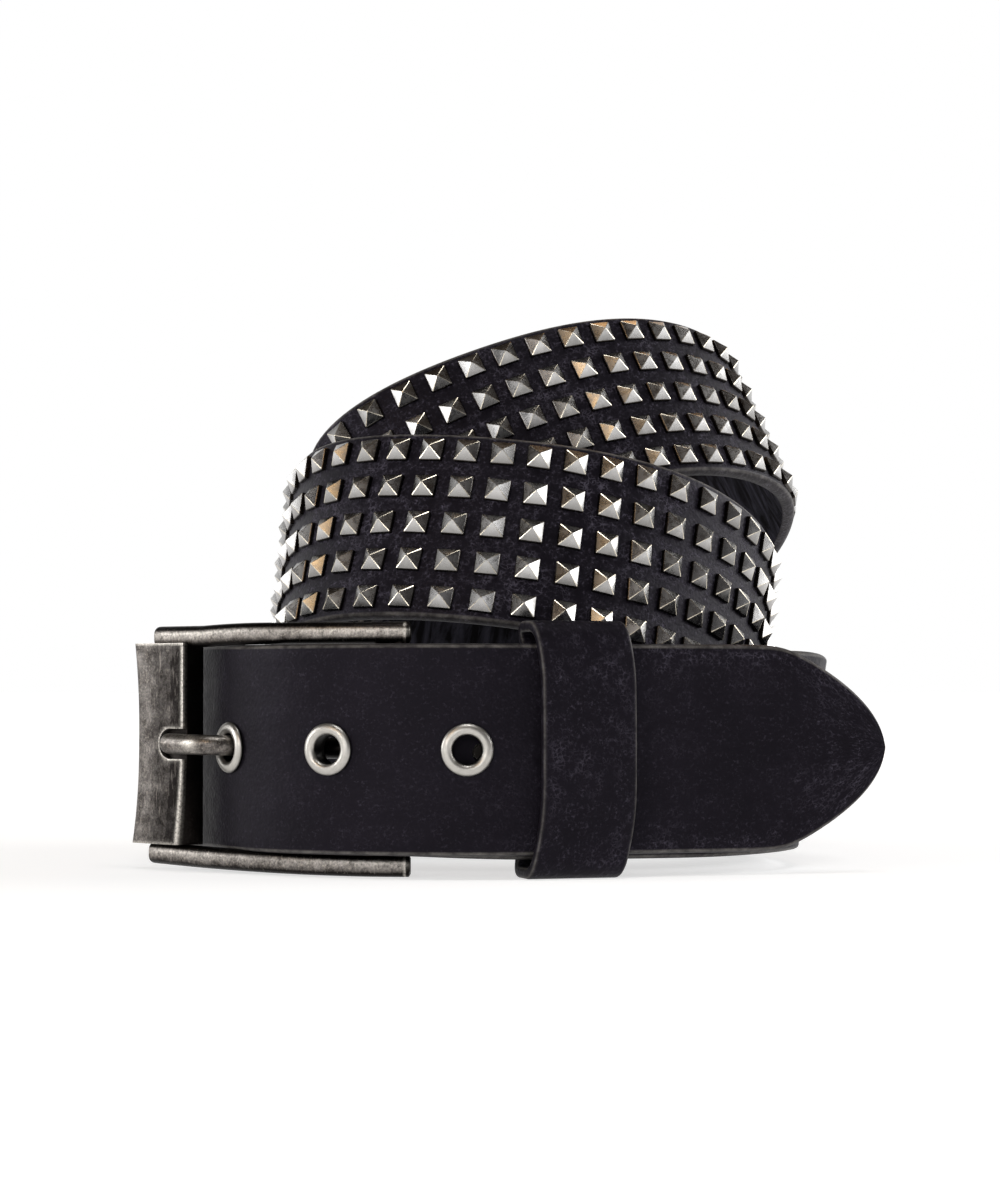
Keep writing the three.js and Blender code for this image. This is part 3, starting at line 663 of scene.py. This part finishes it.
face = THICK / 2
eyelet_profile = [(2.75, -face - 0.2), (2.95, -face - 0.7), (3.5, -face - 0.8), (4.2, -face - 0.62),
                  (4.5, -face - 0.3), (3.35, -face - 0.15), (3.3, 0.0), (3.32, face + 0.05),
                  (4.6, face + 0.02), (4.95, face + 0.12), (5.0, face + 0.32), (4.86, face + 0.62),
                  (4.5, face + 0.92), (4.0, face + 1.12), (3.55, face + 1.12), (3.15, face + 0.92),
                  (2.88, face + 0.6), (2.76, face + 0.2), (2.75, -0.2)]
eyelet = lathe("eyelet", eyelet_profile)
heights = points_of(eyelet)[:, 2] * 1000
# Painted shade: the bore and the lip below the flange get the near-black colour.
paint(eyelet, "rise", np.clip((heights - face - 0.2) / 0.5, 0, 1))
place, along, across, out = strap_frame(eyelet_at)
eyelets = set_in_strap("eyelets", eyelet, metres(place), out, along, satin_nickel)
add_piece("eyelets", eyelets, satin_nickel,
          [f"eyelet_{k}" for k in range(1, EYELETS + 1)])


# ---------------------------------------------------------------- buckle frame
# Two soft-edged side rods about 4 mm thick with a round heel bar between them and a flat bar under
# the plate, cast in zinc alloy. Their upper and lower sides are painted dark, as painted shade, and
# the middles of their fronts bright, as painted highlight.

STRAP_Z, ROD, ROD_HEIGHT, FRAME_HALF = 24.4, 3.6, 4.25, 22.6
HEEL = (-19.0, 9.3, 1.8)
PLATE_AT, PLATE_TURN = (-66.0, 32.5), math.radians(137.2)

# Aged gunmetal: dark warm grey with brown mottling and fine upright scratches. It is nearly black
# where patina and painted shade lie, and bright where metal is rubbed bare and where highlights are
# painted.
gunmetal, tree, shader = new_material("aged_gunmetal_plated_zinc")
spot = add_node(tree, "ShaderNodeTexCoord").outputs["Object"]
rubbed_and_lit, shade = (add_node(tree, "ShaderNodeAttribute", attribute_name=word).outputs["Fac"]
               for word in ("rubbed_and_lit", "shade"))
blotch = add_node(tree, "ShaderNodeTexNoise", {  # patches of patina, 3 mm
    "Vector": spot, "Scale": 1 / 0.003, "Detail": 6.0, "Roughness": 0.7}).outputs["Fac"]
speckle = add_node(tree, "ShaderNodeTexNoise", {  # cast skin, 0.5 mm
    "Vector": spot, "Scale": 1 / 0.0005, "Detail": 4.0, "Roughness": 0.75}).outputs["Fac"]
aged = add_node(tree, "ShaderNodeMapRange", {
    "Value": blotch, "From Min": 0.35, "From Max": 0.65}).outputs[0]
plating_and_painted_light = add_node(tree, "ShaderNodeMix", {
    0: aged, 6: linear("#87827e"), 7: linear("#494441")}, data_type="RGBA").outputs[2]
dots = add_node(tree, "ShaderNodeMapRange", {
    "Value": speckle, "From Min": 0.52, "From Max": 0.72, "To Max": 0.7}).outputs[0]
plating_and_painted_light = add_node(tree, "ShaderNodeMix", {
    0: dots, 6: plating_and_painted_light, 7: linear("#c2b8ac")}, data_type="RGBA").outputs[2]
pits = add_node(tree, "ShaderNodeMapRange", {
    "Value": speckle, "From Min": 0.46, "From Max": 0.3, "To Max": 0.7}).outputs[0]
plating_and_painted_light = add_node(tree, "ShaderNodeMix", {
    0: pits, 6: plating_and_painted_light, 7: linear("#2c2725")}, data_type="RGBA").outputs[2]
upright = add_node(tree, "ShaderNodeMapping", {0: spot, 3: (1.0, 1.0, 0.12)}).outputs[0]
scratches = add_node(tree, "ShaderNodeTexNoise", {  # 0.4 mm wide and 3 mm long
    "Vector": upright, "Scale": 1 / 0.0004, "Detail": 3.0, "Roughness": 0.6}).outputs["Fac"]
scratch = add_node(tree, "ShaderNodeMapRange", {
    "Value": scratches, "From Min": 0.58, "From Max": 0.72, "To Max": 0.35}).outputs[0]
# Patina and painted shade: nearly black by the shade number, broken by patches.
dark_patina_and_shade = add_node(tree, "ShaderNodeMath", {
    0: blotch, 1: 0.5, 2: shade}, operation="MULTIPLY_ADD").outputs[0]
dark_patina_and_shade = add_node(tree, "ShaderNodeMapRange", {
    "Value": dark_patina_and_shade, "From Min": 0.3, "From Max": 0.95, "To Max": 0.97}).outputs[0]
plating_and_painted_light = add_node(tree, "ShaderNodeMix", {
    0: dark_patina_and_shade, 6: plating_and_painted_light, 7: linear("#141110")}, data_type="RGBA").outputs[2]
bare = add_node(tree, "ShaderNodeMapRange", {
    "Value": shade, "From Min": 0.75, "From Max": 0.95, "To Min": 1.0, "To Max": 0.0}).outputs[0]
scratch = add_node(tree, "ShaderNodeMath", {0: scratch, 1: bare}, operation="MULTIPLY").outputs[0]
plating_and_painted_light = add_node(tree, "ShaderNodeMix", {
    0: scratch, 6: plating_and_painted_light, 7: linear("#aaa198")}, data_type="RGBA").outputs[2]
# Bright bare metal, partly rubbed and partly painted highlight.
rub_and_highlight = add_node(tree, "ShaderNodeMapRange", {
    "Value": speckle, "From Min": 0.35, "From Max": 0.55, "To Min": 0.3}).outputs[0]
rub_and_highlight = add_node(tree, "ShaderNodeMath", {0: rub_and_highlight, 1: rubbed_and_lit}, operation="MULTIPLY").outputs[0]
plating_and_painted_light = add_node(tree, "ShaderNodeMix", {
    0: rub_and_highlight, 6: plating_and_painted_light, 7: linear("#e8e2d8")}, data_type="RGBA").outputs[2]
tree.links.new(plating_and_painted_light, shader.inputs["Base Color"])
shader.inputs["Metallic"].default_value = 1.0
dull = add_node(tree, "ShaderNodeMapRange", {
    "Value": speckle, "From Min": 0.3, "From Max": 0.7, "To Min": 0.46, "To Max": 0.3}).outputs[0]
tree.links.new(dull, shader.inputs["Roughness"])
relief = add_node(tree, "ShaderNodeBump", {
    "Height": speckle, "Strength": 0.3, "Distance": 0.00012}).outputs[0]
relief = add_node(tree, "ShaderNodeBump", {
    "Height": blotch, "Strength": 0.25, "Distance": 0.0004, "Normal": relief}).outputs[0]
tree.links.new(relief, shader.inputs["Normal"])


def soft_square(half_x, half_y, corner, steps=4):
    """Points of a rectangle with round corners, and a share that peaks in the middle of each
    corner, by which the keeper's edges are painted lighter as wear and painted highlight.
    """
    points, wear_and_highlight = [], []
    for quarter, (sign_x, sign_y) in enumerate(((1, 1), (-1, 1), (-1, -1), (1, -1))):
        x, y = sign_x * (half_x - corner), sign_y * (half_y - corner)
        for k in range(steps + 1):
            angle = math.pi / 2 * (quarter + k / steps)
            points.append((x + corner * math.cos(angle), y + corner * math.sin(angle)))
            wear_and_highlight.append(1.0 - abs(2 * k / steps - 1))
    return np.array(points), np.array(wear_and_highlight)


def rod_rings(places, along, section, end_round):
    """Rings of a level rod along places. Its section lies sideways and up, its ends are rounded."""
    length = distances(places)
    to_end = np.minimum(length, length[-1] - length)
    inset = np.where(to_end < end_round, end_round - np.sqrt(np.clip(
        end_round ** 2 - (end_round - to_end) ** 2, 0, None)), 0.0)
    size = (1 - inset / np.abs(section).max())[:, None, None]
    side = np.column_stack([-along[:, 1], along[:, 0], np.zeros(len(along))])
    return (places[:, None] + size * (section[None, :, :1] * side[:, None]
                                      + section[None, :, 1:] * np.array([0.0, 0.0, 1.0])))


rod_points = np.array([(HEEL[0] + 2, HEEL[1] - 0.6), (-42, 9),
                       (PLATE_AT[0] - 1.6, PLATE_AT[1] + 1.4)])
t = np.concatenate([np.linspace(0, 0.02, 5), np.linspace(0.03, 0.97, 60),
                    np.linspace(0.98, 1, 5)])[:, None]
rod_line = (1 - t) ** 2 * rod_points[0] + 2 * t * (1 - t) * rod_points[1] + t ** 2 * rod_points[2]
rod_along = unit(2 * (1 - t) * (rod_points[1] - rod_points[0])
                 + 2 * t * (rod_points[2] - rod_points[1]))
to_left = np.clip((-rod_line[:, :1] - 46) / 12, 0, 1) ** 2
section = soft_square(ROD / 2, ROD_HEIGHT / 2, 1.6, 6)[0]
middle = section[:, 1] / (ROD_HEIGHT / 2)
frame_meshes, frame_wear_and_highlight, frame_shade = [], [], []
# Height, rise and dip to the left, extra length there, and how bright the middle of the front is
# painted, as painted highlight.
for height_mm, rise, dip, longer, front_highlight in (
        (STRAP_Z - FRAME_HALF + 0.39, 1.1, 0.0, 1.8, 0.35),
        (STRAP_Z + FRAME_HALF - 0.465, 0.0, 0.45, 0.3, 0.5)):
    line = np.column_stack([rod_line + longer * t ** 4 * rod_along[-1],
                            height_mm + rise * t ** 2 - dip * to_left])
    rings = rod_rings(line, rod_along, section, 0.6)
    frame_meshes.append(skin("rod", metres(rings)))
    wear_and_highlight = front_highlight * np.exp(-((middle - 0.1) / 0.25) ** 2) + np.zeros(rings.shape[:2])
    wear_and_highlight[4] = 0.6  # painted highlight on the rim of the right end
    frame_wear_and_highlight.append(wear_and_highlight.ravel())
    # Painted shade: darker towards the top and bottom, and black on the right end cap.
    dark = np.clip((np.abs(middle) - 0.3) / 0.5, 0.1, 1) + np.zeros(rings.shape[:2])
    dark[:4] = 1.0
    frame_shade.append(dark.ravel())
heel = bar(HEEL[2], -FRAME_HALF, FRAME_HALF, (0, 0, 1), place=(HEEL[0], HEEL[1], STRAP_Z))
flat = soft_square(2.8, 1.0, 0.5)[0]
wide = np.array([math.cos(PLATE_TURN), math.sin(PLATE_TURN), 0])
thick = np.array([-math.sin(PLATE_TURN), math.cos(PLATE_TURN), 0])
front = np.array([(*PLATE_AT, STRAP_Z + h) + flat[:, :1] * wide + flat[:, 1:] * thick
                  for h in np.linspace(1.6 - FRAME_HALF, FRAME_HALF, 9)])
# Painted shade: the heel bar and the front bar are black all over.
for name, rings in (("heel_bar", heel), ("front_bar", front)):
    frame_meshes.append(skin(name, metres(rings)))
    frame_wear_and_highlight.append(np.zeros(rings[..., 0].size))
    frame_shade.append(np.ones(rings[..., 0].size))


def join(name, meshes):
    """One mesh of several, in the same order."""
    whole = bmesh.new()
    for mesh in meshes:
        whole.from_mesh(mesh)
    joined = bpy.data.meshes.new(name)
    whole.to_mesh(joined)
    whole.free()
    return joined


buckle_frame = join("buckle_frame", frame_meshes)
paint(buckle_frame, "rubbed_and_lit", np.concatenate(frame_wear_and_highlight))
paint(buckle_frame, "shade", np.concatenate(frame_shade))
add_piece("buckle_frame_rods", buckle_frame, gunmetal, ["buckle_frame"])


# ---------------------------------------------------------------- buckle plate
# A cast plate 15.5 by 40 mm that is cast round the front bar, hollowed a little along its left
# edge, with a rounded notch for the prong and a ridge next to the strap that is painted bright,
# partly as rubbed metal and partly as painted highlight.

PLATE_HALF, PLATE_FACE, PLATE_HEIGHT, PLATE_RISE = 7.75, 2.5, 39.7, 0.6
NOTCH_LENGTH, NOTCH_RADIUS, NOTCH_FLOOR = 7.0, 3.0, 1.45


def plate_ridge(h):
    """How far the ridge lies from the plate's right end, at heights from -1 to 1."""
    return 0.4 + 2.0 * np.clip(-h, 0, 1) ** 1.6


def plate_left(h):
    """Where the plate's hollowed left edge is, from its middle."""
    hollow = 1.5 * (1 - np.abs(h + 0.05) ** 2.2)
    return PLATE_HALF + 0.1 - hollow - 0.4 * np.clip(h, 0, 1) + 0.6 * np.clip(-h, 0, 1) ** 2


plate_rings = []
for h in np.linspace(-1, 1, 64):
    ridge_x, left_x = -PLATE_HALF + plate_ridge(h), plate_left(h)
    ring = [(x, -PLATE_FACE) for x in np.linspace(left_x, -PLATE_HALF, 16)]
    ring += [(-PLATE_HALF + (ridge_x + PLATE_HALF) * k ** 1.5, -PLATE_FACE + 2 * PLATE_FACE * k)
             for k in np.linspace(0.15, 1, 8)]
    ring += [(x, PLATE_FACE + 0.35 * (1 - ((x - ridge_x) / (left_x - ridge_x) * 2 - 1) ** 2))
             for x in np.linspace(ridge_x, left_x - 0.9, 34)[1:]]
    ring += [(left_x - 0.9 + 0.9 * math.sin(a), PLATE_FACE - 0.9 + 0.9 * math.cos(a) + 0.02)
             for a in np.linspace(0.3, math.pi / 2, 5)]
    ring += [(left_x, y) for y in np.linspace(PLATE_FACE - 1.6, -PLATE_FACE, 5)[:-1]]
    plate_rings.append([(x, y, h * PLATE_HEIGHT / 2) for x, y in ring])
groove_end = -PLATE_HALF + NOTCH_LENGTH - NOTCH_RADIUS
notch_outline = [(-PLATE_HALF - 2, -NOTCH_RADIUS), *[
    (groove_end + NOTCH_RADIUS * math.cos(a), NOTCH_RADIUS * math.sin(a))
    for a in np.linspace(-math.pi / 2, math.pi / 2, 25)], (-PLATE_HALF - 2, NOTCH_RADIUS)]
notch = skin("notch", np.array([[(x, y, z) for x, z in notch_outline]
                                for y in (NOTCH_FLOOR, 6.0)]) / 1000)
slot_outline = [(-3.1, -1.3), (3.1, -1.3), (3.1, 1.2), (-3.1, 1.2)]
bar_slot = skin("bar_slot", np.array([[(x, y, z) for x, y in slot_outline]
                                      for z in (-30.0, 30.0)]) / 1000)
casting = put("casting", cut(skin("buckle_plate", np.array(plate_rings) / 1000), [notch, bar_slot]))
soften = casting.modifiers.new("soften", "BEVEL")
soften.width, soften.segments, soften.limit_method = 0.00045, 3, "ANGLE"
soften.angle_limit = math.radians(38)
plate_mesh = settled(casting)
x, y, z = (points_of(plate_mesh) * 1000).T
h = np.clip(2 * z / PLATE_HEIGHT, -1, 1)
near_ridge = np.hypot(x - (-PLATE_HALF + plate_ridge(h)), y - PLATE_FACE)
near_notch = np.abs(np.where(x < groove_end, np.abs(z), np.hypot(x - groove_end, z)) - NOTCH_RADIUS)
near_end = np.abs(np.abs(z) - PLATE_HEIGHT / 2)
on_front = y > PLATE_FACE - 0.5
in_notch = (x < groove_end + NOTCH_RADIUS) & (np.abs(z) < NOTCH_RADIUS + 0.1) & (near_notch > -1)
# Painted bright, partly rubbed metal and partly painted highlight: the ridge, the notch's rim and
# both ends.
paint(plate_mesh, "rubbed_and_lit", np.maximum.reduce([
    np.exp(-(near_ridge / 0.45) ** 2),
    on_front * (x < groove_end + 4) * 0.6 * np.exp(-(near_notch / 0.3) ** 2),
    on_front * 0.5 * np.exp(-(near_end / 0.4) ** 2)]))
# Painted shade: black on the sides, behind and in the notch. On the front a painted reflection:
# light on the left band, darker towards the ridge.
across_face = (x - (-PLATE_HALF + plate_ridge(h))) / (plate_left(h) + PLATE_HALF - plate_ridge(h))
shade_plate = 0.22 + 0.35 * np.clip((0.75 - across_face) / 0.25, 0, 1) + 0.12 * (across_face < 0.25)
black = (across_face < -0.005) | (y < 1.2) | (in_notch & (y < PLATE_FACE - 0.3))
paint(plate_mesh, "shade", np.where(black, 1.0, shade_plate))
plate_place = Matrix.Translation(Vector(metres((*PLATE_AT, STRAP_Z + PLATE_RISE))))
plate_mesh.transform(plate_place @ Matrix.Rotation(PLATE_TURN, 4, "Z"))
add_piece("buckle_plate_cast", plate_mesh, gunmetal, ["buckle_plate"])


# ---------------------------------------------------------------- prong
# A round steel prong 4 mm thick, bent from a loop round the heel bar through the third eyelet to
# the plate's notch, and plated like the frame. It is painted bright at the bend and along its top,
# as painted highlight, and black behind the tongue, as painted shade.

PRONG = np.array([(-22.5, 11.5), (-30, 13), (-38, 17.6), (-44, 23), (-47.5, 24.3),
                  (-51.3, 22.6), (-55.5, 20.6), (-59.5, 21.9), (-62.7, 24.6), (-66.1, 27.7)])
PRONG_RADIUS = 2.0

chord = np.concatenate([[0], np.cumsum(np.sqrt(np.linalg.norm(np.diff(PRONG, axis=0), axis=1)))])
prong_line = smooth_line(PRONG, chord, np.linspace(0, chord[-1], 120))
prong_along = unit(np.gradient(prong_line, axis=0))
climb = np.interp(prong_line[:, 0], (-66, -52, -40), (0.7, 0.4, 0))  # up to the notch
prong_line = np.column_stack([prong_line, STRAP_Z + climb])
turn = np.linspace(0, 2 * math.pi, 28, endpoint=False)
round_section = PRONG_RADIUS * np.stack([np.cos(turn), np.sin(turn)], -1)
prong_rings = rod_rings(prong_line, prong_along, round_section, 1.3)
loop_profile = [(2.15, -1.7), (2.4, -2.0), (4.3, -2.0), (4.65, -1.7), (4.7, 0.0), (4.65, 1.7),
                (4.3, 2.0), (2.4, 2.0), (2.15, 1.7)]
prong_loop = lathe("prong_loop", loop_profile, 40)
prong_loop.transform(Matrix.Translation(Vector(metres((HEEL[0], HEEL[1], STRAP_Z)))))
prong = join("prong", [skin("prong_rod", metres(prong_rings)), prong_loop])
places = points_of(prong) * 1000 + FRAME_ORIGIN
# Painted highlight: bright at the bend and along the top.
bend_highlight = np.exp(-(np.linalg.norm(places - (-60.6, 20.4, STRAP_Z + 1.2), axis=1) / 1.7) ** 2)
top_highlight = 0.35 * np.exp(-((places[:, 2] - STRAP_Z - 1.9) / 0.5) ** 2) * (places[:, 0] < -52)
paint(prong, "rubbed_and_lit", np.maximum(bend_highlight, top_highlight))
paint(prong, "shade", np.clip((places[:, 0] + 50) / 3, 0.15, 1))  # painted shade: black behind the tongue
add_piece("prong_rod", prong, gunmetal, ["prong"])


# ---------------------------------------------------------------- keeper
# A leather loop 19 mm wide round both layers, cut from the same hide, with its ends joined behind.
# It bows forward a little and its edges are painted lighter, partly as wear and partly as painted
# highlight.

KEEPER_AT, KEEPER_WIDTH, KEEPER_THICK, KEEPER_ROUND = LENGTH - 61.9, 18.7, 2.2, 0.75
KEEPER_HALF, KEEPER_FRONT, KEEPER_BACK, KEEPER_BOW = 24.4, 4.0, -8.4, 0.9
CORNER, FRONT_ROUND, BACK_ROUND = 4.2, 3.1, 2.4

# Middle of the keeper's leather, round the loop: v across the strap and n out of it.
inner = KEEPER_THICK / 2
loop_line = []
for v in np.linspace(-KEEPER_HALF + CORNER, KEEPER_HALF - CORNER, 40):
    loop_line.append((v, KEEPER_FRONT - inner + KEEPER_BOW * (1 - abs(v / 20) ** 2.6)))
front_count, front_end = len(loop_line), loop_line[-1][1]
for a in np.linspace(0, math.pi / 2, 10)[1:]:
    loop_line.append((KEEPER_HALF - CORNER + (CORNER - inner) * math.sin(a),
                      front_end - FRONT_ROUND * (1 - math.cos(a))))
for n in np.linspace(front_end - FRONT_ROUND, KEEPER_BACK + inner + BACK_ROUND, 6)[1:]:
    loop_line.append((KEEPER_HALF - inner, n))
for a in np.linspace(0, math.pi / 2, 10)[1:]:
    loop_line.append((KEEPER_HALF - inner - BACK_ROUND * (1 - math.cos(a)),
                      KEEPER_BACK + inner + BACK_ROUND * (1 - math.sin(a))))
side_count, back_end = len(loop_line), KEEPER_HALF - inner - BACK_ROUND
for v in np.linspace(back_end, -back_end, 24)[1:-1]:
    loop_line.append((v, KEEPER_BACK + inner))
loop_line += [(-v, n) for v, n in reversed(loop_line[front_count:side_count])]
loop_line = np.array(loop_line)
loop_along = unit(np.roll(loop_line, -1, axis=0) - np.roll(loop_line, 1, axis=0))
loop_out = np.stack([-loop_along[:, 1], loop_along[:, 0]], -1)
loop_out *= np.sign(loop_out[front_count // 2, 1])
# The strip's section, with seven more points on each of its two flat sides.
strip, strip_wear_and_highlight = soft_square(KEEPER_WIDTH / 2, KEEPER_THICK / 2, KEEPER_ROUND, 4)
flat_end = KEEPER_WIDTH / 2 - KEEPER_ROUND
flat_steps = np.linspace(-flat_end, flat_end, 9)[1:-1]
strip = np.concatenate([strip[:5], [(x, KEEPER_THICK / 2) for x in flat_steps[::-1]], strip[5:15],
                        [(x, -KEEPER_THICK / 2) for x in flat_steps], strip[15:]])
strip_wear_and_highlight = np.concatenate([strip_wear_and_highlight[:5], np.zeros(7), strip_wear_and_highlight[5:15],
                             np.zeros(7), strip_wear_and_highlight[15:]])
place, along, across, out = frame_at(KEEPER_AT)
distance = distances(loop_line)
sway = (0.3 - 1.6 * np.clip((loop_line[:, 0] - 12) / 12, 0, 1) ** 2
        - 2.4 * np.clip((-loop_line[:, 0] - 7) / 17, 0, 1) ** 2)
keeper_rings = (place + (strip[None, :, :1] + sway[:, None, None]) * along
                + (loop_line[:, None, :1] + strip[None, :, 1:] * loop_out[:, None, :1]) * across
                + (loop_line[:, None, 1:] + strip[None, :, 1:] * loop_out[:, None, 1:]) * out)
round_strip = np.hypot(*np.diff(np.vstack([strip, strip[:1]]), axis=0).T)
keeper_uv = (np.append(distance, distance[-1] + 1.0) / 1000 + 2.0,
             np.concatenate([[0], np.cumsum(round_strip)]) / 1000)
keeper = skin("keeper", metres(keeper_rings), loop=True, uv=keeper_uv)
# The edges painted lighter, partly wear and partly painted highlight.
paint(keeper, "edge", np.broadcast_to(0.6 * strip_wear_and_highlight ** 2, keeper_rings.shape[:2]))
paint(keeper, "flesh", np.zeros(len(keeper.vertices)))
paint(keeper, "worked", np.full(len(keeper.vertices), 0.4))
add_piece("keeper_loop", keeper, black_leather, ["keeper"])


# ---------------------------------------------------------------- rivet
# A low domed rivet of nickel-plated brass clinches the strap's turned-back end behind the
# tongue.

rivet_profile = [(0.001, face + 1.5), (1.2, face + 1.42), (2.3, face + 1.15), (3.0, face + 0.72),
                 (3.2, face + 0.42), (3.05, face + 0.3), (1.5, face + 0.3), (1.5, -face - 3.2),
                 (0.001, -face - 3.2)]
rivet = lathe("rivet", rivet_profile, 36)
# Painted shade: the shank below the dome gets the near-black colour.
paint(rivet, "rise", points_of(rivet)[:, 2] > face / 1000)
place, along, across, out = frame_at(RIVET_AT)
rivet_place = np.column_stack([along, across, out, metres(place)])
rivet.transform(Matrix(rivet_place.tolist() + [[0, 0, 0, 1]]))
add_piece("rivet_dome", rivet, satin_nickel, ["rivet"])

low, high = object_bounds()
